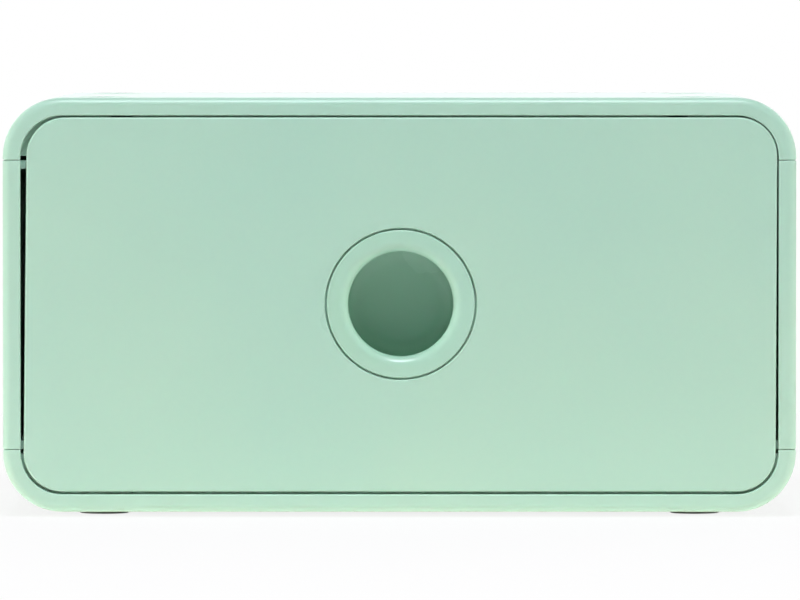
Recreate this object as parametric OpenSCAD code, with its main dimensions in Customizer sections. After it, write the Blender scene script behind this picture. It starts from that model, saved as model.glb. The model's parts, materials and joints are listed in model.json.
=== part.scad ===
// Stackable drawer box: a snap-together case of five mouldings on four soft pads,
// and a drawer with a separate front and a two-piece finger pull.
//
// X runs along the width, Y from the front (-Y) to the back (+Y), Z up.
// The origin is on the surface the box stands on, under the middle of the case.
// The top and the base of the case are one moulding used twice, the base turned over.

/* [Case] */
// Width of the case
case_w = 200; // [180:1:240]
// Height of the case without its pads
case_h = 104.5; // [96:0.5:140]
// Depth of the case, front to back
case_d = 150; // [135:1:200]
// Radius of the case's four long edges
case_corner_r = 15; // [12:0.5:15.5]
// Rounding of the outer edge at the front and the back
case_edge_r = 2; // [1:0.25:2.5]
// Width of the band that frames the drawer
rim_w = 4.5; // [4.2:0.1:6]
// Depth of the front and back rims
rim_d = 2.6; // [2:0.1:4]
// Thickness of the flat walls
wall = 2.4; // [2.2:0.1:3]
// Rounding of the inner edge of the band
rim_edge_r = 0.4; // [0.2:0.05:0.6]
// Visible gap where a side panel meets the top and the base
seam_gap = 0.15; // [0.1:0.05:0.3]
// Rounding of the edges along those seams
seam_edge_r = 0.3; // [0.1:0.05:0.35]

/* [Drawer] */
// Gap at the left of the drawer front, halfway up
gap_left = 1.15; // [0.6:0.05:1.5]
// Gap at the right of the drawer front, halfway up
gap_right = 0.5; // [0.5:0.05:1.5]
// Gap above the drawer front
gap_top = 0.5; // [0.5:0.05:1.5]
// Gap below the drawer front
gap_bottom = 0.7; // [0.6:0.05:1.5]
// How much wider the left gap is at the top than at the bottom
gap_taper = 0.8; // [0:0.1:1]
// How much wider the right gap is at the bottom than at the top
gap_lean = 0.3; // [0:0.1:0.3]
// Thickness of the front's face
front_t = 2.2; // [2:0.1:3]
// Depth of the hollow behind the front's face
front_hollow = 3.2; // [2.5:0.1:5]
// Thickness of the tray's walls and floor
tray_t = 2; // [1.6:0.1:2.5]
// How far the tray's side walls stop below the top of the opening
tray_drop = 7.5; // [7.5:0.5:20]
// How far the drawer pulls out before it meets the catch rib
drawer_travel = 108; // [80:1:112]

/* [Finger pull] */
// Radius of the finger hole
pull_hole_r = 13.25; // [11:0.25:14]
// Radius of the ring's flange
pull_flange_r = 18.65; // [17.5:0.05:20]
// Gap round the flange
pull_gap = 0.5; // [0.2:0.05:0.6]
// Depth of the recess for the fingertip
pull_depth = 22; // [16:0.5:26]

/* [Feet] */
// Radius of a soft pad
pad_r = 6.3; // [5:0.1:8]
// How far a pad stands out below the case
pad_proud = 1.2; // [1.1:0.1:1.6]
// Depth of the sockets for the pads, in the base and in the top
socket_d = 1; // [0.6:0.1:1]

/* [Hidden] */
$fn = 96;
edge_steps = 48;                           // round the small rounding of an edge

MINT = [0.66, 0.86, 0.76];
MINT_DRAWER = [0.68, 0.87, 0.76];
PAD_GREY = [0.80, 0.83, 0.81];

over = 1;                                  // how far a cutting shape runs past a face
fit = 0.1;                                 // play between pieces that stay together
front_y = -case_d / 2;
back_y = case_d / 2;
mid_z = pad_proud + case_h / 2;            // the case is drawn about its own middle, then lifted

// the opening that the drawer fills
open_w = case_w - 2 * rim_w;
open_h = case_h - 2 * rim_w;
open_corner_r = case_corner_r - rim_w;
flat_half_w = case_w / 2 - case_corner_r;  // half the width between the rounded long edges

// the legs of the two shells, and the snap tongues that enter them
leg_h = case_corner_r + 0.7;
seam_z = case_h / 2 - leg_h;
rebate_w = 0.8;                            // along the inner edge of a leg's end
rebate_h = 1;
tongue_t = 1.5;
tongue_l = 24;
tongue_h = 6;
tongue_ys = [-0.32 * case_d, 0, 0.32 * case_d];
tongue_x = case_w / 2 - rim_w / 2;
bead_r = 0.35;
bead_l = 16;
bead_drop = 2;                             // from the tongue's tip to the middle of its bead

// the side panels
panel_h = 2 * seam_z - 2 * seam_gap;
panel_t = 2;
flange_t = 2.1;
panel_front_t = 1.2;
stiffener_t = 1.2;
stiffener_h = 1.3;
stiffener_ys = [for (k = [-1.5:1:1.5]) k * 0.187 * case_d];

// the groove that traps the back panel
groove_w = 2.4;
groove_d = 2;
groove_y = back_y - rim_d - groove_w;
back_panel_t = 2.2;
back_border = 6;
back_border_t = 0.8;

// the ledge round the opening that the drawer front shuts in front of
ledge_play = 0.3;
ledge_depth = front_t + ledge_play;        // behind the front of the case
ledge_t = 2.4;
ledge_side = 1.6;                          // how far it stands in at the sides
ledge_level = 0.7;                         // and above and below
ledge_corner_r = open_corner_r - 1;

// ribs under the roof and on the floor: rails along the drawer, and one rib across that catches it
rail_t = 3;
rail_xs = [for (k = [-0.7, -0.23, 0.23, 0.7]) k * case_w / 2];
catch_t = 3;
pocket_d = rim_w - wall;
pocket_front = front_y + ledge_depth + ledge_t;
pocket_back = groove_y - wall;
pocket_r = 1.5;

// the sockets for the pads
socket_r = pad_r + 0.2;
pad_x = flat_half_w - 10;
pad_y = case_d / 2 - 21;
pad_edge_r = 0.4;

// the drawer sits in its play, so its middle is a little off the case's
drawer_x = (gap_left - gap_right) / 2;
drawer_z = (gap_bottom - gap_top) / 2;
front_w = open_w - gap_left - gap_right;
front_h = open_h - gap_top - gap_bottom;
front_corner_r = open_corner_r - 0.7;
front_edge_r = 0.5;
front_step = 2;                            // how far the back of the front is smaller all round
front_rim = 1.6;
collar_r = pull_flange_r + pull_gap + front_rim;
face_rib_t = 1.4;
hook_xs = [-0.62 * case_w / 2, 0.62 * case_w / 2];
hook_zs = [-24, 24];
hook_w = 8;
hook_t = 1.4;
hook_barb = 0.8;
hook_barb_l = 1.8;
hook_play = 0.15;

// the tray
tray_side_gap = 2.2;
tray_half_w = open_w / 2 - tray_side_gap;
tray_corner_r = open_corner_r - 0.5;
tray_upright_r = 7;
tray_front_y = front_y + front_t + front_hollow;
tray_back_y = pocket_back - 0.2;           // shut, the catch tabs stand against the pockets' back
runner_w = 5;
runner_h = 1;
runner_gap = 0.1;
runner_notch = runner_w + 0.6;             // where the ledge lets a runner through
tray_z = -open_h / 2 + runner_gap + runner_h;
tray_top_z = open_h / 2 - tray_drop;
tray_end_half_w = tray_half_w - 15.5;      // the raised middles of the front and back walls
tray_end_r = 8;
tray_end_z = open_h / 2 - ledge_level - 0.5;
catch_tab_w = 14;
catch_tab_x = (rail_xs[2] + rail_xs[3]) / 2;
catch_tab_z = open_h / 2 + pocket_d - 0.5;
catch_y = tray_back_y - tray_t - drawer_travel - 0.1;

// the finger pull, measured from the front face backwards
pull_x = drawer_x;
pull_z = drawer_z + 0.15;
flange_seat = 1.4;
flange_edge_r = 0.3;
lip_t = 3.6;
lip_front_r = 2.6;
lip_back_r = 0.9;
pull_body_r = pull_flange_r - 0.55;
pull_bore_r = pull_body_r + 0.2;
cup_t = 1.6;
cup_inner_r = pull_body_r - cup_t;
cup_floor_r = 7;                           // inside; the outside follows it
cup_flange_r = pull_body_r + 3;
cup_flange_t = 1.5;
skirt_t = 1.1;
skirt_back = lip_t + 4;
skirt_bead = 0.2;
skirt_bead_back = skirt_back - 0.8;
tray_wall_back = front_t + front_hollow + tray_t;

// ---------- shapes that repeat ----------

// Runs its flat child, drawn in X and Z, from y0 to y1.
module along_y(y0, y1)
    translate([0, y1, 0]) rotate([90, 0, 0]) linear_extrude(y1 - y0) children();

// Stands a solid that was built upwards from zero so that it fills y0 to y1.
module upright(y1)
    translate([0, y1, 0]) rotate([90, 0, 0]) children();

module block(x0, x1, y0, y1, z0, z1)
    translate([x0, y0, z0]) cube([x1 - x0, y1 - y0, z1 - z0]);

function rect_centres(w, h, r) =
    [[r - w / 2, r - h / 2], [w / 2 - r, r - h / 2], [w / 2 - r, h / 2 - r], [r - w / 2, h / 2 - r]];

// A flat rounded rectangle about the origin.
module rounded_rect(w, h, r) {
    square([w - 2 * r, h], center = true);
    square([w, h - 2 * r], center = true);
    for (c = rect_centres(w, h, r)) translate(c) circle(r);
}

// Half the section of a slab across its edge: x is the distance from the corner's
// centre, y the height. The lower and the upper edge can be rounded.
module edge_section(r, height, low_r, high_r) {
    square([r - max(low_r, high_r), height]);
    square([r - low_r, height / 2]);
    translate([0, height / 2]) square([r - high_r, height / 2]);
    translate([0, low_r]) square([r, height - low_r - high_r]);
    if (low_r > 0) intersection() {
        translate([r - low_r, low_r]) circle(low_r, $fn = edge_steps);
        translate([r - low_r, 0]) square(low_r);
    }
    if (high_r > 0) intersection() {
        translate([r - high_r, height - high_r]) circle(high_r, $fn = edge_steps);
        translate([r - high_r, height - high_r]) square(high_r);
    }
}

function heading(a, b) = atan2(b[1] - a[1], b[0] - a[0]);

// A slab with rounded corners about the given centres, anticlockwise, and rounded edges.
// Tuck sets its sides in a hair behind the corners, for sides that lean.
module slab(centres, r, height, low_r = 0, high_r = 0, tuck = 0) {
    linear_extrude(height) polygon(centres);
    for (i = [0:len(centres) - 1]) {
        here = centres[i];
        next = centres[(i + 1) % len(centres)];
        translate(here) rotate_extrude() edge_section(r, height, low_r, high_r);
        translate(next) rotate([90, 0, heading(here, next) - 90])
            linear_extrude(norm(next - here)) edge_section(r - tuck, height, low_r, high_r);
    }
}

// The cutter that rounds the edge of a hole in the face at height zero, the hole going up.
module hole_edge_section(r, edge_r) difference() {
    translate([r - over, -over]) square([over + edge_r, over + edge_r]);
    translate([r + edge_r, edge_r]) circle(edge_r);
    translate([r, edge_r]) square(edge_r + over);
}

module hole_edge(centres, r, edge_r)
    for (i = [0:len(centres) - 1]) {
        here = centres[i];
        next = centres[(i + 1) % len(centres)];
        translate(here) rotate(heading(centres[(i + 3) % 4], here) - 90)
            rotate_extrude(angle = 90) hole_edge_section(r, edge_r);
        translate(next) rotate([90, 0, heading(here, next) - 90])
            linear_extrude(norm(next - here)) hole_edge_section(r, edge_r);
    }

// Turns a profile about the finger pull's axis: x is the radius, y the depth behind the front.
module turned()
    translate([pull_x, front_y, pull_z]) rotate([-90, 0, 0]) rotate_extrude() children();

module pull_bore(r, from, to)
    turned() translate([0, from]) square([r, to - from]);

module lift() translate([0, 0, mid_z]) children();

// ---------- the case ----------

module case_block()
    upright(back_y) slab(rect_centres(case_w, case_h, case_corner_r), case_corner_r, case_d,
                         case_edge_r, case_edge_r);

// The case between its rounded long edges, seen from above, from z0 up.
module straight_block(z0, height, low_r, high_r)
    translate([0, 0, z0])
        slab(rect_centres(case_w, case_d, case_edge_r), case_edge_r, height, low_r, high_r);

module drawer_opening() {
    along_y(front_y - over, back_y + over) rounded_rect(open_w, open_h, open_corner_r);
    translate([0, front_y, 0]) rotate([-90, 0, 0])
        hole_edge(rect_centres(open_w, open_h, open_corner_r), open_corner_r, rim_edge_r);
}

module back_groove()
    along_y(groove_y, groove_y + groove_w)
        rounded_rect(open_w + 2 * groove_d, open_h + 2 * groove_d, open_corner_r + groove_d);

// The hollows between the ribs of a shell.
module shell_pockets() {
    edges_x = concat([-flat_half_w - rail_t / 2], rail_xs, [flat_half_w + rail_t / 2]);
    rows = [[pocket_front, catch_y - catch_t], [catch_y, pocket_back]];
    for (i = [0:len(edges_x) - 2], row = rows) {
        x0 = edges_x[i] + rail_t / 2;
        x1 = edges_x[i + 1] - rail_t / 2;
        translate([(x0 + x1) / 2, (row[0] + row[1]) / 2, open_h / 2 - over])
            linear_extrude(pocket_d + over) rounded_rect(x1 - x0, row[1] - row[0], pocket_r);
    }
}

// A slot in the end of a leg, with the groove that its tongue's bead snaps into.
module tongue_slot(side, y) {
    depth = tongue_h - seam_gap;
    x = side * tongue_x;
    block(x - tongue_t / 2 - fit, x + tongue_t / 2 + fit,
          y - tongue_l / 2 - 2 * fit, y + tongue_l / 2 + 2 * fit, seam_z - over, seam_z + depth);
    translate([x + side * tongue_t / 2, y, seam_z + depth - bead_drop])
        rotate([90, 0, 0]) cylinder(r = bead_r + fit, h = bead_l + 4 * fit, center = true);
}

// The rebate along the inner edge of a leg's end.
module leg_rebate(side)
    translate([side * open_w / 2, 0, seam_z])
        block(-rebate_w, rebate_w, front_y + rebate_h, back_y - rim_d, -over, rebate_h);

// The part of the ledge on a shell, notched where the drawer's runners pass.
module shell_ledge() difference() {
    along_y(front_y + ledge_depth, front_y + ledge_depth + ledge_t) intersection() {
        difference() {
            rounded_rect(open_w + 2 * fit, open_h + 2 * fit, open_corner_r + fit);
            rounded_rect(open_w - 2 * ledge_side, open_h - 2 * ledge_level, ledge_corner_r);
        }
        translate([-case_w / 2, seam_z + rebate_h]) square([case_w, case_h]);
    }
    for (side = [-1, 1])
        block(side * rail_xs[3] - runner_notch / 2, side * rail_xs[3] + runner_notch / 2,
              front_y, 0, open_h / 2 - 2 * ledge_level, open_h / 2);
}

// The moulding that makes both the top and the base, drawn as the top.
module shell() {
    end_h = 2 * seam_edge_r;
    shell_ledge();
    difference() {
        union() {
            intersection() {
                case_block();
                block(-case_w, case_w, front_y - over, back_y + over, seam_z + end_h, case_h);
            }
            straight_block(seam_z, end_h, seam_edge_r, 0);
        }
        drawer_opening();
        back_groove();
        shell_pockets();
        for (side = [-1, 1], y = tongue_ys) tongue_slot(side, y);
        for (side = [-1, 1]) leg_rebate(side);
        for (x = [-pad_x, pad_x], y = [-pad_y, pad_y])
            translate([x, y, case_h / 2 - socket_d]) cylinder(r = socket_r, h = socket_d + over);
    }
}

module top_shell() color(MINT) lift() shell();

module bottom_shell() color(MINT) lift() rotate([0, 180, 0]) shell();

// A snap tongue on a panel's upper or lower edge.
module tongue(y, up) {
    z0 = up * panel_h / 2;
    z1 = up * (panel_h / 2 + tongue_h);
    block(tongue_x - tongue_t / 2, tongue_x + tongue_t / 2, y - tongue_l / 2, y + tongue_l / 2,
          min(z0, z1) - (up > 0 ? fit : 0), max(z0, z1) + (up > 0 ? 0 : fit));
    translate([tongue_x + tongue_t / 2, y, z1 - up * bead_drop])
        rotate([90, 0, 0]) cylinder(r = bead_r, h = bead_l, center = true);
}

// A side panel, drawn as the right one: a thin wall stiffened by a flange all round.
module side_panel() {
    inner_x = open_w / 2;
    wall_x = case_w / 2 - panel_t;
    difference() {
        intersection() {
            straight_block(-panel_h / 2, panel_h, seam_edge_r, seam_edge_r);
            block(inner_x - over, case_w, front_y - over, back_y + over, -case_h, case_h);
        }
        drawer_opening();
        block(inner_x - over, wall_x, front_y + panel_front_t, groove_y - wall,
              -panel_h / 2 + flange_t, panel_h / 2 - flange_t);
        block(inner_x - over, inner_x + groove_d, groove_y, groove_y + groove_w,
              -panel_h / 2 - over, panel_h / 2 + over);
    }
    for (y = stiffener_ys)
        block(wall_x - stiffener_h, wall_x + fit, y - stiffener_t / 2, y + stiffener_t / 2,
              -panel_h / 2 + flange_t - fit, panel_h / 2 - flange_t + fit);
    for (up = [-1, 1]) translate([0, 0, up * (panel_h - flange_t) / 2])
        block(inner_x - ledge_side, inner_x + fit, front_y + ledge_depth,
              front_y + ledge_depth + ledge_t, -flange_t / 2, flange_t / 2);
    for (y = tongue_ys, up = [-1, 1]) tongue(y, up);
}

module right_side_panel() color(MINT) lift() side_panel();

module left_side_panel() color(MINT) lift() mirror([1, 0, 0]) side_panel();

// The back panel, held all round in the groove, with a raised border on its outside.
module back_panel() color(MINT) lift() {
    edge = 2 * groove_d - 4 * fit;
    y0 = groove_y + fit;
    along_y(y0, y0 + back_panel_t)
        rounded_rect(open_w + edge, open_h + edge, open_corner_r + edge / 2);
    difference() {
        along_y(y0 + back_panel_t - fit, y0 + back_panel_t + back_border_t)
            rounded_rect(open_w - 4 * fit, open_h - 4 * fit, open_corner_r - 2 * fit);
        along_y(y0, back_y)
            rounded_rect(open_w - 2 * back_border, open_h - 2 * back_border, open_corner_r - 4);
    }
}

// ---------- the feet ----------

module foot_pad(x, y) color(PAD_GREY) translate([x, y, 0])
    rotate_extrude() edge_section(pad_r, pad_proud + socket_d, pad_edge_r, 0);

// ---------- the drawer ----------

// The front leans in its opening: its upper corners stand a little to the right.
front_centres = [for (c = rect_centres(front_w, front_h, front_corner_r))
    [drawer_x + c[0] + sign(c[1]) * (c[0] < 0 ? gap_taper : gap_lean) / 2, drawer_z + c[1]]];

// A snap hook behind the face, its barb turned away from the middle.
module snap_hook(x, z) {
    tip = tray_front_y + tray_t + hook_barb_l;
    catch = tip - hook_barb_l + 0.05;
    foot = hook_t / 2 - fit;
    peak = hook_t / 2 + hook_barb;
    translate([drawer_x + x, 0, drawer_z + z]) {
        block(-hook_w / 2, hook_w / 2, front_y + front_t - fit, tip, -hook_t / 2, hook_t / 2);
        rotate([0, z > 0 ? -90 : 90, 0]) translate([0, 0, -hook_w / 2]) linear_extrude(hook_w)
            polygon([[foot, catch], [peak, catch], [peak, catch + 0.4], [hook_t / 2, tip], [foot, tip]]);
    }
}

// A rib behind the face, from the collar round the pull out towards the rim.
module face_rib(angle, reach)
    translate([pull_x, 0, pull_z]) rotate([0, angle, 0])
        block(collar_r - 0.5, reach, front_y + front_t - fit, tray_front_y,
              -face_rib_t / 2, face_rib_t / 2);

// The front's outline behind its face, made smaller all round by the inset.
module front_body(inset, y0, y1)
    translate([drawer_x, 0, drawer_z]) along_y(y0, y1)
        rounded_rect(front_w - 2 * inset, front_h - 2 * inset, front_corner_r - inset);

// The face plate of the drawer, hollow behind, with a stepped hole for the finger pull.
module drawer_front() color(MINT_DRAWER) lift() {
    back = front_t + front_hollow;
    difference() {
        union() {
            difference() {
                union() {
                    upright(front_y + front_t)
                        slab(front_centres, front_corner_r, front_t, 0, front_edge_r, 0.01);
                    front_body(front_step, front_y + front_t - fit, tray_front_y);
                }
                front_body(front_step + front_rim, front_y + front_t, tray_front_y + over);
            }
            pull_bore(collar_r, front_t - fit, back);
        }
        pull_bore(pull_flange_r + pull_gap, -over, flange_seat);
        turned() hole_edge_section(pull_flange_r + pull_gap, flange_edge_r);
        pull_bore(pull_bore_r, 0, back + over);
    }
    for (angle = [0, 180]) face_rib(angle, front_w / 2 - front_step - 1);
    for (angle = [90, 270]) face_rib(angle, front_h / 2 - front_step - 1);
    for (x = hook_xs, z = hook_zs) snap_hook(x, z);
}

// The tray's section across the drawer, with rounded lower corners.
module tray_section(inset, top_z) {
    w = 2 * (tray_half_w - inset);
    bottom = tray_z + inset;
    r = tray_corner_r - inset;
    translate([-w / 2, bottom + r]) square([w, top_z - bottom - r]);
    translate([-w / 2 + r, bottom]) square([w - 2 * r, 2 * r]);
    for (side = [-1, 1]) translate([side * (w / 2 - r), bottom + r]) circle(r);
}

// The tray's body, rounded across the drawer and in plan.
module tray_body(inset, top_z) intersection() {
    along_y(tray_front_y + inset, tray_back_y - inset) tray_section(inset, top_z);
    translate([0, (tray_front_y + tray_back_y) / 2, -case_h])
        linear_extrude(2 * case_h)
            rounded_rect(2 * (tray_half_w - inset), tray_back_y - tray_front_y - 2 * inset,
                         tray_upright_r - inset);
}

// The raised middle of the tray's front or back wall.
module tray_end(y0)
    along_y(y0, y0 + tray_t) intersection() {
        translate([0, tray_z + tray_corner_r])
            rounded_rect(2 * tray_end_half_w, 2 * (tray_end_z - tray_z - tray_corner_r), tray_end_r);
        translate([-tray_end_half_w, 0]) square([2 * tray_end_half_w, tray_end_z]);
    }

module drawer_tray() color(MINT_DRAWER) lift() {
    wall_back_y = tray_front_y + tray_t;
    difference() {
        union() {
            difference() {
                tray_body(0, tray_top_z);
                tray_body(tray_t, case_h);
            }
            for (y0 = [tray_front_y, tray_back_y - tray_t]) tray_end(y0);
            for (side = [-1, 1]) {
                block(side * rail_xs[3] - runner_w / 2, side * rail_xs[3] + runner_w / 2,
                      front_y + ledge_depth, tray_back_y - tray_upright_r,
                      tray_z - runner_h, tray_z + fit);
                block(side * catch_tab_x - catch_tab_w / 2, side * catch_tab_x + catch_tab_w / 2,
                      tray_back_y - tray_t, tray_back_y, tray_end_z - 2, catch_tab_z);
            }
        }
        pull_bore(pull_bore_r, front_t + front_hollow - over, tray_wall_back + over);
        for (x = hook_xs, z = hook_zs)
            translate([drawer_x + x, 0, drawer_z + z])
                block(-hook_w / 2 - hook_play, hook_w / 2 + hook_play,
                      tray_front_y - over, wall_back_y + over,
                      -hook_t / 2 - hook_play, hook_t / 2 + hook_play);
    }
}

// The ring on show: a flange flush with the front, a rolled lip that a fingertip hooks
// behind, and a skirt that snaps into the cup.
module finger_ring() color(MINT_DRAWER) lift() turned() {
    lip_x = pull_hole_r + lip_front_r;
    skirt_r = cup_inner_r - fit;
    // flange
    translate([lip_x, 0]) square([pull_flange_r - flange_edge_r - lip_x, flange_seat]);
    translate([lip_x, flange_edge_r]) square([pull_flange_r - lip_x, flange_seat - flange_edge_r]);
    intersection() {
        translate([pull_flange_r - flange_edge_r, flange_edge_r]) circle(flange_edge_r);
        translate([pull_flange_r - flange_edge_r, 0]) square(flange_edge_r);
    }
    // lip
    translate([lip_x, 0]) square([pull_body_r - lip_x, lip_t]);
    translate([pull_hole_r, lip_front_r]) square([lip_front_r, lip_t - lip_front_r - lip_back_r]);
    translate([pull_hole_r + lip_back_r, lip_front_r]) square([lip_front_r, lip_t - lip_front_r]);
    intersection() {
        translate([lip_x, lip_front_r]) circle(lip_front_r);
        translate([pull_hole_r, 0]) square(lip_front_r);
    }
    intersection() {
        translate([pull_hole_r + lip_back_r, lip_t - lip_back_r]) circle(lip_back_r);
        translate([pull_hole_r, lip_t - lip_back_r]) square(lip_back_r);
    }
    // skirt and its snap bead
    translate([skirt_r - skirt_t, lip_t - fit]) square([skirt_t, skirt_back - lip_t + fit]);
    translate([skirt_r, skirt_bead_back]) circle(skirt_bead);
}

// The outline of a closed cup, from its mouth at the given depth to its rounded floor.
module cup_outline(r, mouth, floor_depth, floor_r) {
    translate([0, mouth]) square([r, floor_depth - floor_r - mouth]);
    translate([0, mouth]) square([r - floor_r, floor_depth - mouth]);
    intersection() {
        translate([r - floor_r, floor_depth - floor_r]) circle(floor_r);
        translate([r - floor_r, floor_depth - floor_r]) square(floor_r);
    }
}

// The blind cup behind the ring, whose flange bears on the back of the tray's front wall.
module finger_cup() color(MINT_DRAWER) lift() turned() difference() {
    union() {
        cup_outline(pull_body_r, lip_t, pull_depth + cup_t, cup_floor_r + cup_t);
        translate([0, tray_wall_back]) square([cup_flange_r, cup_flange_t]);
    }
    cup_outline(cup_inner_r, lip_t - over, pull_depth, cup_floor_r);
    translate([cup_inner_r, skirt_bead_back]) circle(skirt_bead + fit);
}

top_shell();
bottom_shell();
left_side_panel();
right_side_panel();
back_panel();
foot_pad(-pad_x, -pad_y);  // foot_pad_front_left
foot_pad(pad_x, -pad_y);  // foot_pad_front_right
foot_pad(-pad_x, pad_y);  // foot_pad_rear_left
foot_pad(pad_x, pad_y);  // foot_pad_rear_right
drawer_tray();
drawer_front();
finger_ring();
finger_cup();
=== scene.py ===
# %% [markdown]
# A stackable drawer box in pale mint plastic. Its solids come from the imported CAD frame, so
# this lesson dresses them: it frames them as the photograph does, gives each moulding its
# finish, adds the small forms that a moulding has and the solids leave out, and lights the
# whole like a product in a white tent. The frame is loaded first, and its box is kept,
# because what is added may not make the object larger.

# %% Load the frame
import json
import math

import bmesh
import bpy
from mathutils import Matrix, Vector


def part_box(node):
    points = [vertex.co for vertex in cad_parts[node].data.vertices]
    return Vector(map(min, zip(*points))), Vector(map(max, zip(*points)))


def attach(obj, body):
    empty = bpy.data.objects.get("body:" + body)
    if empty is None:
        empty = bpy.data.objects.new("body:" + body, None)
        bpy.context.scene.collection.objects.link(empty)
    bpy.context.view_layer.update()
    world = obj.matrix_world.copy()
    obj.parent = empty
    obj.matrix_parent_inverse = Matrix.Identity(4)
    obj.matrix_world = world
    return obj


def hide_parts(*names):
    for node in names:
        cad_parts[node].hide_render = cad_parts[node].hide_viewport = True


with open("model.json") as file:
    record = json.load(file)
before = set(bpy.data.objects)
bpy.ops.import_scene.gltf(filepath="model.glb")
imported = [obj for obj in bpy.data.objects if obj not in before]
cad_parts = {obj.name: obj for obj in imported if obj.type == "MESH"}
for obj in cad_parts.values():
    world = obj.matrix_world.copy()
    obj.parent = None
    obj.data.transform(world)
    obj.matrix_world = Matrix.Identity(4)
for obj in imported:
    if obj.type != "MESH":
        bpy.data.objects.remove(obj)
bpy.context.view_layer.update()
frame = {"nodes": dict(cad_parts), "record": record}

for name in ("Cube", "Light", "Camera"):
    if name in bpy.data.objects:
        bpy.data.objects.remove(bpy.data.objects[name])

MM = 0.001
scene = bpy.context.scene
case_low, case_high = (Vector(corner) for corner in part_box("top_shell"))
case_low.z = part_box("bottom_shell")[0].z

# %% [markdown]
# The photograph looks straight at the front. Its upright edges stay parallel and the roof
# shows as a strip only a few pixels high, so the camera is far off, just above the roof, and
# has a long lens. A shifted lens nearby would draw the same picture, but it would push the
# object out of the middle when the camera moves to another side.

# %% Camera
IMAGE_W = 800
SENSOR_MM = 36.0
IMAGE_CENTRE_PX = (400.0, 300.0)
CASE_CENTRE_PX = (399.5, 305.0)
CASE_W_PX = 794.0
CAMERA_AWAY = 2.4
CAMERA_ABOVE_ROOF = 0.0214

px_per_m = CASE_W_PX / (case_high.x - case_low.x)
target = Vector((
    (IMAGE_CENTRE_PX[0] - CASE_CENTRE_PX[0]) / px_per_m,
    case_low.y,
    (case_low.z + case_high.z) / 2 + (CASE_CENTRE_PX[1] - IMAGE_CENTRE_PX[1]) / px_per_m,
))
eye = Vector((target.x, case_low.y - CAMERA_AWAY, case_high.z + CAMERA_ABOVE_ROOF))

camera = bpy.data.objects.new("camera", bpy.data.cameras.new("camera"))
scene.collection.objects.link(camera)
camera.location = eye
camera.rotation_euler = (target - eye).to_track_quat("-Z", "Y").to_euler()
camera.data.sensor_width = SENSOR_MM
camera.data.lens = px_per_m * (target - eye).length * SENSOR_MM / IMAGE_W
camera.data.clip_end = 100.0
scene.camera = camera
down = math.degrees(math.asin((eye.z - target.z) / (target - eye).length))
print(f"lens {camera.data.lens:.0f} mm, looking down {down:.2f} degrees")

# %% [markdown]
# All the shells are one satin plastic. In close view it isn't one flat colour: the pigment
# drifts a little with the flow of the melt, the mould's spark-eroded skin leaves a grain of
# about 0.4 mm, and the edges are smoother where they rub and a touch paler, which is a
# painted highlight together with some rubbing. Noise on Object coordinates draws all of
# that at its real size on every side, with no picture and no UV map. These helpers keep
# the node trees short to write.

# %% Helpers for materials
def new_material(name):
    """A material with its node tree, its shader and its Object coordinates."""
    material = bpy.data.materials.new(name)
    material.use_nodes = True
    tree = material.node_tree
    coordinates = tree.nodes.new("ShaderNodeTexCoord")
    return material, tree, tree.nodes["Principled BSDF"], coordinates.outputs["Object"]


def feed(tree, socket, value):
    """Links a value that is a socket, and writes down one that is a number or a colour."""
    if isinstance(value, bpy.types.NodeSocket):
        tree.links.new(value, socket)
    else:
        socket.default_value = value


NOISE_LOW, NOISE_HIGH = 0.3, 0.7


def noise(tree, where, size, detail=2.0):
    """Noise whose blots are about that size in metres. Most of it lies from low to high."""
    node = tree.nodes.new("ShaderNodeTexNoise")
    node.inputs["Scale"].default_value = 1 / size
    node.inputs["Detail"].default_value = detail
    tree.links.new(where, node.inputs["Vector"])
    return node.outputs["Fac"]


def spread(tree, value, low, high, start=0.0, end=1.0):
    """Maps start to end onto low to high, and holds what lies beyond."""
    node = tree.nodes.new("ShaderNodeMapRange")
    for socket, number in zip(node.inputs, (value, start, end, low, high)):
        feed(tree, socket, number)
    return node.outputs["Result"]


def spread_noise(tree, where, size, detail, low, high):
    """Noise of that size, stretched to fill low to high."""
    return spread(tree, noise(tree, where, size, detail), low, high, NOISE_LOW, NOISE_HIGH)


def blend_colour(tree, amount, first, second):
    """Mixes two colours."""
    node = tree.nodes.new("ShaderNodeMix")
    node.data_type = "RGBA"
    for socket, value in zip((node.inputs[0], node.inputs[6], node.inputs[7]),
                             (amount, first, second)):
        feed(tree, socket, value)
    return node.outputs[2]


def combine(tree, operation, first, second):
    """Two numbers made one: ADD, MULTIPLY or another operation."""
    node = tree.nodes.new("ShaderNodeMath")
    node.operation = operation
    feed(tree, node.inputs[0], first)
    feed(tree, node.inputs[1], second)
    return node.outputs[0]


def bump(tree, height, depth, strength=1.0, under=None):
    """A normal bent by a height from 0 to 1 that stands for that depth in metres."""
    node = tree.nodes.new("ShaderNodeBump")
    node.inputs["Strength"].default_value = strength
    node.inputs["Distance"].default_value = depth
    tree.links.new(height, node.inputs["Height"])
    if under is not None:
        tree.links.new(under, node.inputs["Normal"])
    return node.outputs["Normal"]


print("helpers ready")

# %% [markdown]
# The edge mask comes from the Bevel node: it gives the normal that a rounded edge would
# have, and where that differs from the real normal there is an edge. A noise breaks it up,
# so that it isn't a drawn line. On the shells it paints a paler highlight along the edges,
# together with some rubbing; on the pads it is dust.

# %% Edge mask: painted edge highlight with rubbing, and pad dust
EDGE_REACH = 0.5 * MM
EDGE_BREAKS = 6.0 * MM
BEVEL_SAMPLES = 4
EDGE_FULL, EDGE_NONE = 0.80, 0.995
FAINTEST = 0.35


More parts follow.
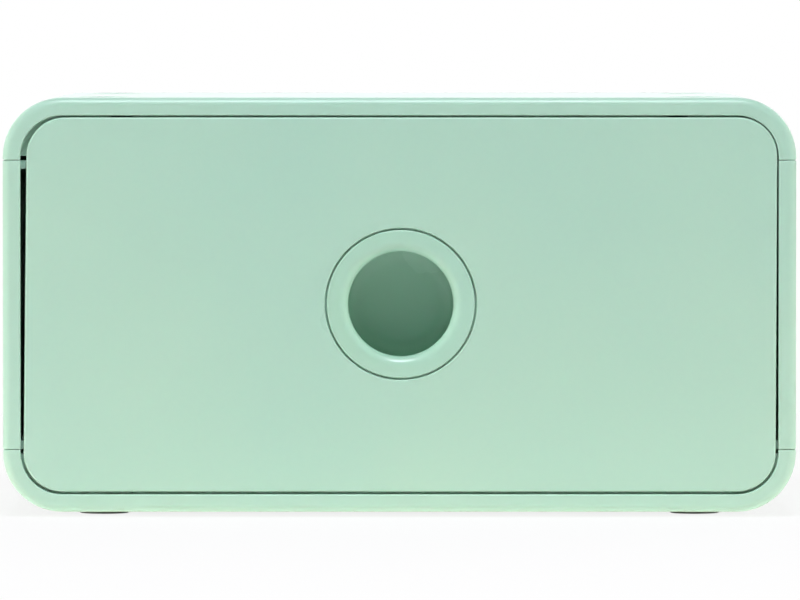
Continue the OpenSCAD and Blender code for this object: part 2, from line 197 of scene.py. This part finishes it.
def edge_mask(tree, where):
    """1 on an edge, 0 on a flat, broken up by noise."""
    rounded = tree.nodes.new("ShaderNodeBevel")
    rounded.samples = BEVEL_SAMPLES
    rounded.inputs["Radius"].default_value = EDGE_REACH
    real = tree.nodes.new("ShaderNodeNewGeometry")
    likeness = tree.nodes.new("ShaderNodeVectorMath")
    likeness.operation = "DOT_PRODUCT"
    tree.links.new(rounded.outputs["Normal"], likeness.inputs[0])
    tree.links.new(real.outputs["Normal"], likeness.inputs[1])
    edge = spread(tree, likeness.outputs["Value"], 1.0, 0.0, EDGE_FULL, EDGE_NONE)
    broken = spread(tree, noise(tree, where, EDGE_BREAKS), FAINTEST, 1.0, 0.35, 0.65)
    return combine(tree, "MULTIPLY", edge, broken)


print(f"edges wear over {EDGE_REACH / MM:.1f} mm")

# %% [markdown]
# The plastic's colour. The cool and the warm mint differ by only a few per cent, as two
# batches of pellets would, and they mix in broad streaks of flow with a fine speckle. The
# finger pull gets a third, a little deeper and greener mint: partly the ring's own tint and
# partly painted shade, the deeper green that light takes after bouncing round inside the
# finger hole. The edges get a paler one: a painted highlight, together with some rubbing.

# %% Mint colour
COOL_MINT = (0.430, 0.690, 0.560, 1)
WARM_MINT = (0.470, 0.715, 0.560, 1)
# The paler edge colour is a painted highlight, together with some rubbing.
HIGHLIGHT_AND_RUB_MINT = (0.560, 0.790, 0.665, 1)
# The pull's deeper mint is partly its own tint and partly painted shade for light bounced inside
# the finger hole.
PULL_TINT_AND_BOUNCE_SHADE = (0.425, 0.700, 0.525, 1)
FLOW_SIZE, FLOW_SHARE = 90 * MM, 0.8
SPECKLE_SIZE, SPECKLE_SHARE = 1.6 * MM, 0.2
HIGHLIGHT_AND_RUB_SHARE = 0.45


def mint_colour(tree, where, edge, cool, warm):
    """Two mints in streaks and specks, paler on the edges."""
    pigment = combine(tree, "ADD",
                      spread_noise(tree, where, FLOW_SIZE, 3.0, 0.0, FLOW_SHARE),
                      spread_noise(tree, where, SPECKLE_SIZE, 3.0, 0.0, SPECKLE_SHARE))
    body = blend_colour(tree, pigment, cool, warm)
    # Paler on the edges: a painted highlight, together with some rubbing.
    return blend_colour(tree, combine(tree, "MULTIPLY", edge, HIGHLIGHT_AND_RUB_SHARE), body, HIGHLIGHT_AND_RUB_MINT)


print(f"the pigment drifts over {FLOW_SIZE / MM:.0f} mm")

# %% [markdown]
# Its gloss. The part that fingers touch most, round the pull, is polished a little: its
# roughness rises with distance from the middle of the finger hole. Broad patches and the
# rubbed edges change it too, by so little that only a highlight shows it.

# %% Mint gloss
ring_low, ring_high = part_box("finger_ring")
PULL_CENTRE = (ring_low + ring_high) / 2
PULL_CENTRE.y = ring_low.y
SATIN = 0.34
POLISH = 0.05
POLISH_NEAR, POLISH_FAR = 14 * MM, 32 * MM
PATCH_SIZE, PATCH_GLOSS = 22 * MM, 0.035
EDGE_GLOSS = 0.08


def mint_roughness(tree, where, edge, gloss_shift):
    """Satin, smoother where hands polish it and where edges rub."""
    away = tree.nodes.new("ShaderNodeVectorMath")
    away.operation = "DISTANCE"
    tree.links.new(where, away.inputs[0])
    away.inputs[1].default_value = PULL_CENTRE
    handled = spread(tree, away.outputs["Value"], -POLISH, 0.0, POLISH_NEAR, POLISH_FAR)
    patches = spread_noise(tree, where, PATCH_SIZE, 4.0, -PATCH_GLOSS, PATCH_GLOSS)
    rough = combine(tree, "ADD", combine(tree, "ADD", handled, patches), SATIN + gloss_shift)
    return combine(tree, "SUBTRACT", rough, combine(tree, "MULTIPLY", edge, EDGE_GLOSS))


print(f"polished within {POLISH_NEAR / MM:.0f} mm of the middle of the pull")

# %% [markdown]
# Its relief is far too fine to model. The grain is two sizes of noise, a hundredth of a
# millimetre deep, and under it the face is a little wavy, as a wide thin moulding is.

# %% Mint relief
FINE_GRAIN, COARSE_GRAIN = 0.40 * MM, 0.9 * MM
GRAIN_DEPTH, GRAIN_STRENGTH = 0.012 * MM, 0.6
WAVE_SIZE, WAVE_DEPTH = 28 * MM, 0.05 * MM


def mint_relief(tree, where):
    """The normal of a spark-eroded skin on a slightly wavy face."""
    grain = combine(tree, "ADD", noise(tree, where, FINE_GRAIN, 2.0),
                    noise(tree, where, COARSE_GRAIN, 1.0))
    waves = bump(tree, noise(tree, where, WAVE_SIZE, 1.0), WAVE_DEPTH)
    return bump(tree, grain, GRAIN_DEPTH, GRAIN_STRENGTH, under=waves)


print(f"grain {GRAIN_DEPTH / MM:.3f} mm deep")

# %% [markdown]
# The three are fed to one shader. A little light also travels under the skin of such a pale
# plastic, mostly green light, which softens narrow gaps and edges.

# %% Mint plastic
SKIN_DEPTH = 1.2 * MM
SKIN_SHARE = 0.15
SKIN_REACH = (0.5, 1.0, 0.75)


def mint_plastic(name, cool, warm, gloss_shift=0.0):
    """Satin moulded plastic."""
    material, tree, shader, where = new_material(name)
    edge = edge_mask(tree, where)
    feed(tree, shader.inputs["Base Color"], mint_colour(tree, where, edge, cool, warm))
    feed(tree, shader.inputs["Roughness"], mint_roughness(tree, where, edge, gloss_shift))
    feed(tree, shader.inputs["Normal"], mint_relief(tree, where))
    shader.subsurface_method = "RANDOM_WALK"
    shader.inputs["Subsurface Weight"].default_value = SKIN_SHARE
    shader.inputs["Subsurface Radius"].default_value = SKIN_REACH
    shader.inputs["Subsurface Scale"].default_value = SKIN_DEPTH
    print(f"{name}: {len(tree.nodes)} nodes")
    return material


case_mint = mint_plastic("case_mint", COOL_MINT, WARM_MINT)
drawer_mint = mint_plastic("drawer_mint", COOL_MINT, WARM_MINT, gloss_shift=-0.01)
# The pull's material carries painted bounce shade for the finger hole, together with the ring's
# own tint.
pull_mint_bounce_shaded = mint_plastic("pull_mint_bounce_shaded", PULL_TINT_AND_BOUNCE_SHADE, COOL_MINT, gloss_shift=-0.06)

# %% [markdown]
# The pads are a soft, frosted silicone. It is half clear, so that it takes on the white of
# what it stands on. Its grain is coarser than that of the shells, and dust makes its edges
# lighter.

# %% Pad rubber
PAD_GREY = (0.76, 0.80, 0.77, 1)
PAD_PALE = (0.84, 0.87, 0.85, 1)
PAD_DUST = (0.90, 0.91, 0.90, 1)
PAD_CLOUD = 4 * MM
PAD_DUST_SHARE = 0.6
PAD_SMOOTH, PAD_ROUGH = 0.48, 0.62
PAD_PATCH = 1.5 * MM
PAD_GRAIN, PAD_GRAIN_DEPTH = 0.5 * MM, 0.03 * MM
PAD_SHEEN = 0.08
PAD_CLEAR = 0.3
SILICONE_IOR = 1.41


def pad_rubber(name):
    """Soft frosted elastomer."""
    material, tree, shader, where = new_material(name)
    clouds = spread_noise(tree, where, PAD_CLOUD, 4.0, 0.0, 1.0)
    body = blend_colour(tree, clouds, PAD_GREY, PAD_PALE)
    dusty = combine(tree, "MULTIPLY", edge_mask(tree, where), PAD_DUST_SHARE)
    feed(tree, shader.inputs["Base Color"], blend_colour(tree, dusty, body, PAD_DUST))
    feed(tree, shader.inputs["Roughness"],
         spread_noise(tree, where, PAD_PATCH, 2.0, PAD_SMOOTH, PAD_ROUGH))
    feed(tree, shader.inputs["Normal"],
         bump(tree, noise(tree, where, PAD_GRAIN, 3.0), PAD_GRAIN_DEPTH, 0.7))
    shader.inputs["Sheen Weight"].default_value = PAD_SHEEN
    shader.inputs["Transmission Weight"].default_value = PAD_CLEAR
    shader.inputs["IOR"].default_value = SILICONE_IOR
    print(f"{name}: {len(tree.nodes)} nodes")
    return material


pad_grey = pad_rubber("pad_rubber")

# %% [markdown]
# Each CAD node keeps its mesh and only gets its finish. The nodes that are replaced further
# down get theirs too, because they stay in the file.

# %% Dress the CAD nodes
finish_of = {"case_plastic": case_mint, "drawer_plastic": drawer_mint, "pad_rubber": pad_grey}
for part in frame["record"]["subparts"]:
    finish = finish_of[part["material_slot"]]
    # The finger nodes get the mint with the painted bounce shade of the finger hole.
    if part["node"].startswith("finger"):
        finish = pull_mint_bounce_shaded
    frame["nodes"][part["node"]].material_slots[0].material = finish
    print(f"{part['node']}: {finish.name}")

# %% [markdown]
# Three small forms on this object are turned: the ring of the finger pull, the soft pads,
# and the marks that the mould's ejector pins leave. One Geometry Nodes tree makes them all.
# It takes half of a section, drawn as a chain of edges with a rounding radius at each point,
# rounds it, and sweeps it round a circle so small that it is only an axis. A lathe modifier
# (Screw) could do that too, but it couldn't round the corners or repeat the result.

# %% Tree: turn a section
def new_tree(name, inputs):
    """An empty Geometry Nodes tree with its named inputs."""
    tree = bpy.data.node_groups.new(name, "GeometryNodeTree")
    tree.interface.new_socket("Geometry", in_out="INPUT", socket_type="NodeSocketGeometry")
    for label, (kind, value) in inputs.items():
        socket = tree.interface.new_socket(label, in_out="INPUT", socket_type="NodeSocket" + kind)
        if value is not None:
            socket.default_value = value
    tree.interface.new_socket("Geometry", in_out="OUTPUT", socket_type="NodeSocketGeometry")
    return tree, tree.nodes.new("NodeGroupInput"), tree.nodes.new("NodeGroupOutput")


def add_node(tree, kind, mode=None, **sockets):
    """A node with some of its inputs filled; an underscore stands for a space."""
    node = tree.nodes.new(kind)
    if mode is not None:
        node.mode = mode
    for label, value in sockets.items():
        feed(tree, node.inputs[label.replace("_", " ")], value)
    return node


AXIS_R = 0.001 * MM

turn, given, result = new_tree("turn_section", {"Sides": ("Int", 96), "Steps": ("Int", 8)})
rounding = add_node(turn, "GeometryNodeInputNamedAttribute", Name="rounding")
chain = add_node(turn, "GeometryNodeMeshToCurve", Mesh=given.outputs["Geometry"])
rounded = add_node(turn, "GeometryNodeFilletCurve", "POLY", Curve=chain.outputs["Curve"],
                   Count=given.outputs["Steps"], Radius=rounding.outputs["Attribute"])
axis = add_node(turn, "GeometryNodeCurvePrimitiveCircle", Resolution=given.outputs["Sides"],
                Radius=AXIS_R)
swept = add_node(turn, "GeometryNodeCurveToMesh", Curve=axis.outputs["Curve"],
                 Profile_Curve=rounded.outputs["Curve"])
welded = add_node(turn, "GeometryNodeMergeByDistance", Geometry=swept.outputs["Mesh"],
                  Distance=10 * AXIS_R)
turn.links.new(welded.outputs["Geometry"], result.inputs["Geometry"])
print("turn_section:", len(turn.nodes), "nodes")

# %% [markdown]
# A second tree uses the first one as a group, puts a copy on every point of a grid, turns
# and moves the whole to its place, and makes the copies real, because an exported file
# can't hold instances. A single ring is a grid of one point.

# %% Tree: repeat what was turned
repeat, given, result = new_tree("repeat_turned", {
    "Sides": ("Int", 96), "Steps": ("Int", 8),
    "Across": ("Int", 1), "Along": ("Int", 1),
    "Width": ("Float", 0.0), "Length": ("Float", 0.0),
    "Tilt": ("Rotation", (0, 0, 0)), "Place": ("Vector", (0, 0, 0)),
    "Finish": ("Material", None),
})
turned = repeat.nodes.new("GeometryNodeGroup")
turned.node_tree = turn
for label in ("Geometry", "Sides", "Steps"):
    feed(repeat, turned.inputs[label], given.outputs[label])
grid = add_node(repeat, "GeometryNodeMeshGrid", Size_X=given.outputs["Width"],
                Size_Y=given.outputs["Length"], Vertices_X=given.outputs["Across"],
                Vertices_Y=given.outputs["Along"])
copies = add_node(repeat, "GeometryNodeInstanceOnPoints", Points=grid.outputs["Mesh"],
                  Instance=turned.outputs["Geometry"])
placed = add_node(repeat, "GeometryNodeTransform", Geometry=copies.outputs["Instances"],
                  Rotation=given.outputs["Tilt"], Translation=given.outputs["Place"])
real = add_node(repeat, "GeometryNodeRealizeInstances", Geometry=placed.outputs["Geometry"])
painted = add_node(repeat, "GeometryNodeSetMaterial", Geometry=real.outputs["Geometry"],
                   Material=given.outputs["Finish"])
repeat.links.new(painted.outputs["Geometry"], result.inputs["Geometry"])
print("repeat_turned:", len(repeat.nodes), "nodes")

# %% [markdown]
# To use the trees, a section is drawn as a small mesh, the tree runs on it, and the result
# is kept as a plain mesh with no modifier. Corners sharper than the steps of a rounding stay
# sharp. The printed volume is positive only if the faces point outwards.

# %% Make a turned piece
SHARP = math.radians(25)


def section_mesh(name, points, closed):
    """A chain of edges through (radius, depth, rounding) points, in millimetres."""
    mesh = bpy.data.meshes.new(name)
    ends = len(points) if closed else len(points) - 1
    mesh.from_pydata([(r * MM, d * MM, 0) for r, d, _ in points],
                     [(i, (i + 1) % len(points)) for i in range(ends)], [])
    attribute = mesh.attributes.new("rounding", "FLOAT", "POINT")
    attribute.data.foreach_set("value", [rounding * MM for _, _, rounding in points])
    return mesh


def turned_piece(name, points, closed, sizes):
    """Runs the tree on a section and keeps the result as a plain mesh object."""
    piece = bpy.data.objects.new(name, section_mesh(name + "_section", points, closed))
    scene.collection.objects.link(piece)
    growth = piece.modifiers.new("turned", "NODES")
    growth.node_group = repeat
    for item in repeat.interface.items_tree:
        if item.in_out == "INPUT" and item.name in sizes:
            growth[item.identifier] = sizes[item.name]
    mesh = bpy.data.meshes.new_from_object(
        piece.evaluated_get(bpy.context.evaluated_depsgraph_get()))
    piece.modifiers.remove(growth)
    piece.data = mesh
    mesh.shade_smooth()
    mesh.set_sharp_from_angle(angle=SHARP)

    check = bmesh.new()
    check.from_mesh(mesh)
    volume = check.calc_volume(signed=True) / MM ** 3
    loose = sum(not edge.is_manifold for edge in check.edges)
    check.free()
    print(f"{name}: {len(mesh.polygons)} faces, {volume:.0f} mm3, {loose} open edges")
    return piece


# %% [markdown]
# The ring is what the eye goes to. Its flange lies flush in the front, its lip rolls back
# into the finger hole with a radius of 2.6 mm, and behind it are the body that fills the
# bore and the skirt that snaps into the cup. Only the roundings and the radii are written
# here; the outer radius, the depth and the place come from the CAD node that it replaces.

# %% Finger ring
RING_OUTER = (ring_high.x - ring_low.x) / 2 / MM
RING_DEPTH = (ring_high.y - ring_low.y) / MM
RING_HOLE = 13.25
FLANGE_STEP, SKIRT_STEP, SKIRT_T = 0.55, 1.7, 1.1
RING_BODY = RING_OUTER - FLANGE_STEP
SKIRT_OUTER = RING_BODY - SKIRT_STEP
SKIRT_INNER = SKIRT_OUTER - SKIRT_T
LIP_FRONT_R, LIP_BACK_R = 2.6, 0.9
FLANGE_DEPTH = 1.4
LIP_DEPTH = 3.6

ring_section = [
    (RING_HOLE, 0, LIP_FRONT_R),
    (RING_OUTER, 0, 0.3),
    (RING_OUTER, FLANGE_DEPTH, 0.1),
    (RING_BODY, FLANGE_DEPTH, 0),
    (RING_BODY, LIP_DEPTH, 0.1),
    (SKIRT_OUTER, LIP_DEPTH, 0),
    (SKIRT_OUTER, RING_DEPTH, 0.3),
    (SKIRT_INNER, RING_DEPTH, 0.3),
    (SKIRT_INNER, LIP_DEPTH, 0),
    (RING_HOLE, LIP_DEPTH, LIP_BACK_R),
]
ring = turned_piece("finger_ring_turned", ring_section, True, {
    "Sides": 160, "Steps": 10, "Tilt": (math.pi / 2, 0, 0), "Place": PULL_CENTRE,
    "Finish": pull_mint_bounce_shaded,
})
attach(ring, "drawer")
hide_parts("finger_ring")
print(f"ring: radius {RING_OUTER:.2f} mm, {RING_DEPTH:.1f} mm deep")

# %% [markdown]
# The pads are the same soft disc four times, with two grooves moulded round its underside
# so that it grips like a tread. They are one piece on one body, so one grid makes them.

# %% Foot pads
PAD_NODES = [f"foot_pad_{end}_{side}" for end in ("front", "rear") for side in ("left", "right")]
pad_boxes = [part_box(node) for node in PAD_NODES]
PAD_R = (pad_boxes[0][1].x - pad_boxes[0][0].x) / 2 / MM
PAD_H = (pad_boxes[0][1].z - pad_boxes[0][0].z) / MM
PAD_EDGE = 0.4
GROOVE_RADII = (2.0, 4.0)
GROOVE_HALF = 0.45
GROOVE_DEPTH = 0.45

pad_centres = [(low + high) / 2 for low, high in pad_boxes]
pad_span = pad_centres[-1] - pad_centres[0]
pad_middle = (pad_centres[-1] + pad_centres[0]) / 2

pad_section = [(0, 0, 0), (PAD_R, 0, 0), (PAD_R, PAD_H, PAD_EDGE)]
for groove_r in reversed(GROOVE_RADII):
    for side, depth, rounding in ((1, PAD_H, 0.12), (1, PAD_H - GROOVE_DEPTH, 0.2),
                                  (-1, PAD_H - GROOVE_DEPTH, 0.2), (-1, PAD_H, 0.12)):
        pad_section.append((groove_r + side * GROOVE_HALF, depth, rounding))
pad_section.append((0, PAD_H, 0))

pads = turned_piece("foot_pads", pad_section, False, {
    "Sides": 64, "Steps": 4, "Across": 2, "Along": 2, "Width": pad_span.x,
    "Length": pad_span.y, "Place": (pad_middle.x, pad_middle.y, pad_boxes[0][1].z),
    "Finish": pad_grey,
})
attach(pads, "case")
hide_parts(*PAD_NODES)
print(f"pads {pad_span.x / MM:.0f} by {pad_span.y / MM:.0f} mm apart")

# %% [markdown]
# Ejector pins push a moulding out of its mould and leave round witness marks, here standing
# a few hundredths of a millimetre proud. They sit in even rows on the tray's floor, where
# nobody minds them, and they tell the eye that this is a moulding.

# %% Ejector pin marks
MARK_R = 3.0
MARK_PROUD = 0.08
MARK_SUNK = 0.3
MARKS_ACROSS, MARKS_ALONG = 4, 3
MARKS_WIDE, MARKS_LONG = 0.75, 0.6
MARKS_BACK = 5 * MM
mark_section = [(0, 0, 0), (MARK_R, 0, 0.06), (MARK_R, MARK_PROUD + MARK_SUNK, 0),
                (0, MARK_PROUD + MARK_SUNK, 0)]

tray_low, tray_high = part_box("drawer_tray")
TRAY_FLOOR = 8.8 * MM
marks = turned_piece("tray_pin_marks", mark_section, False, {
    "Sides": 48, "Steps": 4, "Across": MARKS_ACROSS, "Along": MARKS_ALONG,
    "Width": MARKS_WIDE * (tray_high.x - tray_low.x),
    "Length": MARKS_LONG * (tray_high.y - tray_low.y),
    "Place": ((tray_low.x + tray_high.x) / 2, (tray_low.y + tray_high.y) / 2 + MARKS_BACK,
              TRAY_FLOOR + MARK_PROUD * MM),
    "Finish": drawer_mint,
})
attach(marks, "drawer")
print(f"{MARKS_ACROSS * MARKS_ALONG} marks, {MARK_PROUD} mm proud")

# %% [markdown]
# The light is a white tent, as in product photography. Two soft lamps stand low at the sides
# and graze the front, the left one stronger, so that the left half is a little brighter and
# the finger hole keeps its shade. A cooler one hangs above the front. White cards on the
# table throw warm light up: that is why the front is brightest low down and its lower edge
# isn't dark. The wall behind makes the roof nearly white where the camera sees it at a
# grazing angle, and a low lamp there lights the back. The cards and lamps aren't seen.

# %% Lamps
WARM_LIGHT = (1.00, 0.92, 0.85)
COOL_LIGHT = (0.87, 0.90, 1.00)
CARD_LIGHT = (1.00, 0.72, 0.62)
CARD_HEIGHT = 0.3 * MM
WALL_LIGHT = (1.00, 0.80, 0.93)


def softbox(name, place, aim, size, power, colour=(1, 1, 1), glossy=True):
    """An area lamp at a place, turned to an aim. Without glossy it leaves no highlights."""
    lamp = bpy.data.objects.new(name, bpy.data.lights.new(name, "AREA"))
    scene.collection.objects.link(lamp)
    lamp.data.shape = "RECTANGLE"
    lamp.data.size, lamp.data.size_y = size
    lamp.data.energy = power
    lamp.data.color = colour
    lamp.location = place
    lamp.rotation_euler = (Vector(aim) - Vector(place)).to_track_quat("-Z", "Y").to_euler()
    lamp.visible_camera = False
    lamp.visible_glossy = glossy
    print(f"{name}: {power:.2f} W")
    return lamp


def card(name, x_range, y_range, power):
    """A white card on the table that lights upwards."""
    x, y = sum(x_range) / 2, sum(y_range) / 2
    return softbox(name, (x, y, CARD_HEIGHT), (x, y, 1),
                   (x_range[1] - x_range[0], y_range[1] - y_range[0]), power, CARD_LIGHT)


BOX_MIDDLE = (0, -0.07, 0.053)
softbox("left_side", (-1.33, -0.36, 0.30), BOX_MIDDLE, (0.45, 0.45), 10.0, WARM_LIGHT, False)
softbox("right_side", (1.33, -0.36, 0.30), BOX_MIDDLE, (0.45, 0.45), 7.9, WARM_LIGHT, False)
softbox("above_front", (0, -0.66, 1.29), BOX_MIDDLE, (0.45, 0.45), 13.0, COOL_LIGHT)
softbox("wall_behind", (0, 1.3, 0.6), (0, 0, 0.6), (2.0, 1.2), 6.2, WALL_LIGHT)
softbox("behind_low", (0.45, 1.3, 0.30), BOX_MIDDLE, (0.6, 0.4), 6.0, WARM_LIGHT, False)
card("card_near", (-0.5, 0.5), (-0.12, -0.065), 0.09)
card("card_front", (-0.5, 0.5), (-0.20, -0.12), 0.06)
card("card_left", (-0.40, -0.105), (-0.20, 0.10), 0.14)
card("card_right", (0.105, 0.40), (-0.20, 0.10), 0.03)

# %% [markdown]
# The tent's wall is the world. The camera sees it pure white. A gloss sees it white too,
# except towards -Y, the side that the box's front faces: a real tent is open and dim there.
# That is why the front keeps its full colour and the gaps and the finger hole stay deep,
# while the roof, which mirrors the far wall, turns pale. The opening stays where it is when
# the camera moves. What the wall gives as light is much weaker, so that the lamps still
# shape the object.

# %% Tent wall
TENT_LIGHT = 0.12
OPENING_LIGHT = 0.25
OPENING_DIRECTION = (0, -1, 0)
OPENING_INNER, OPENING_OUTER = 0.95, 0.45

world = bpy.data.worlds.new("tent")
scene.world = world
world.use_nodes = True
tent = world.node_tree
tent.nodes.clear()
direction = tent.nodes.new("ShaderNodeTexCoord").outputs["Generated"]
facing = tent.nodes.new("ShaderNodeVectorMath")
facing.operation = "DOT_PRODUCT"
tent.links.new(direction, facing.inputs[0])
facing.inputs[1].default_value = OPENING_DIRECTION
cloth = spread(tent, facing.outputs["Value"], 1.0, OPENING_LIGHT, OPENING_OUTER, OPENING_INNER)
ray = tent.nodes.new("ShaderNodeLightPath")
seen = combine(tent, "MAXIMUM", cloth, ray.outputs["Is Camera Ray"])
wall = add_node(tent, "ShaderNodeBackground", Color=(1, 1, 1, 1), Strength=seen)
glow = add_node(tent, "ShaderNodeBackground", Color=(1, 1, 1, 1),
                Strength=combine(tent, "MULTIPLY", cloth, TENT_LIGHT))
white_rays = combine(tent, "MAXIMUM", ray.outputs["Is Camera Ray"],
                     combine(tent, "MAXIMUM", ray.outputs["Is Glossy Ray"],
                             ray.outputs["Is Transmission Ray"]))
choice = tent.nodes.new("ShaderNodeMixShader")
for socket, value in zip(choice.inputs, (white_rays, glow.outputs[0], wall.outputs[0])):
    feed(tent, socket, value)
tent.links.new(choice.outputs[0], tent.nodes.new("ShaderNodeOutputWorld").inputs["Surface"])
print("tent light", TENT_LIGHT, "and", OPENING_LIGHT, "of it at the opening")

# %% [markdown]
# The table is a wide white sheet. To the camera, and through the clear pads, it is mostly
# plain white, so that it melts into the background. Near the object a share of its real
# shading shows: that share is the object's soft shadow. It fades to nothing further out. The
# sheet lies a twentieth of a millimetre low, so that it isn't in one plane with the pads.

# %% Table
TABLE_HALF = 30.0
TABLE_Z = -0.05 * MM
TABLE_WHITE = (0.9, 0.9, 0.9, 1)
SHADE_SHARE = 0.15
SHADE_NEAR, SHADE_FAR = 0.16, 0.55

corners = [(x * TABLE_HALF, y * TABLE_HALF, TABLE_Z)
           for x, y in ((-1, -1), (1, -1), (1, 1), (-1, 1))]
table_mesh = bpy.data.meshes.new("table")
table_mesh.from_pydata(corners, [], [(0, 1, 2, 3)])
table = bpy.data.objects.new("table", table_mesh)
scene.collection.objects.link(table)

sheet, tree, shader, where = new_material("white_sheet")
shader.inputs["Base Color"].default_value = TABLE_WHITE
shader.inputs["Roughness"].default_value = 0.9
shader.inputs["Specular IOR Level"].default_value = 0.1
plain_white = add_node(tree, "ShaderNodeEmission", Color=(1, 1, 1, 1), Strength=1.0)
ray = tree.nodes.new("ShaderNodeLightPath")
away = tree.nodes.new("ShaderNodeVectorMath")
away.operation = "LENGTH"
tree.links.new(where, away.inputs[0])
shade = spread(tree, away.outputs["Value"], SHADE_SHARE, 0.0, SHADE_NEAR, SHADE_FAR)
white_rays = combine(tree, "MAXIMUM", ray.outputs["Is Camera Ray"],
                     ray.outputs["Is Transmission Ray"])
lifted = combine(tree, "MULTIPLY", white_rays, combine(tree, "SUBTRACT", 1.0, shade))
choice = tree.nodes.new("ShaderNodeMixShader")
for socket, value in zip(choice.inputs, (lifted, shader.outputs[0], plain_white.outputs[0])):
    feed(tree, socket, value)
tree.links.new(choice.outputs[0], tree.nodes["Material Output"].inputs["Surface"])
table_mesh.materials.append(sheet)
print(f"the object's shadow shows at {SHADE_SHARE:.0%}")

# %% [markdown]
# Last, the colour settings stay at their defaults, apart from the plain transform, which
# shows a colour as it is written. The dressed box may not be larger than the CAD box.

# %% Finish
scene.view_settings.view_transform = "Standard"
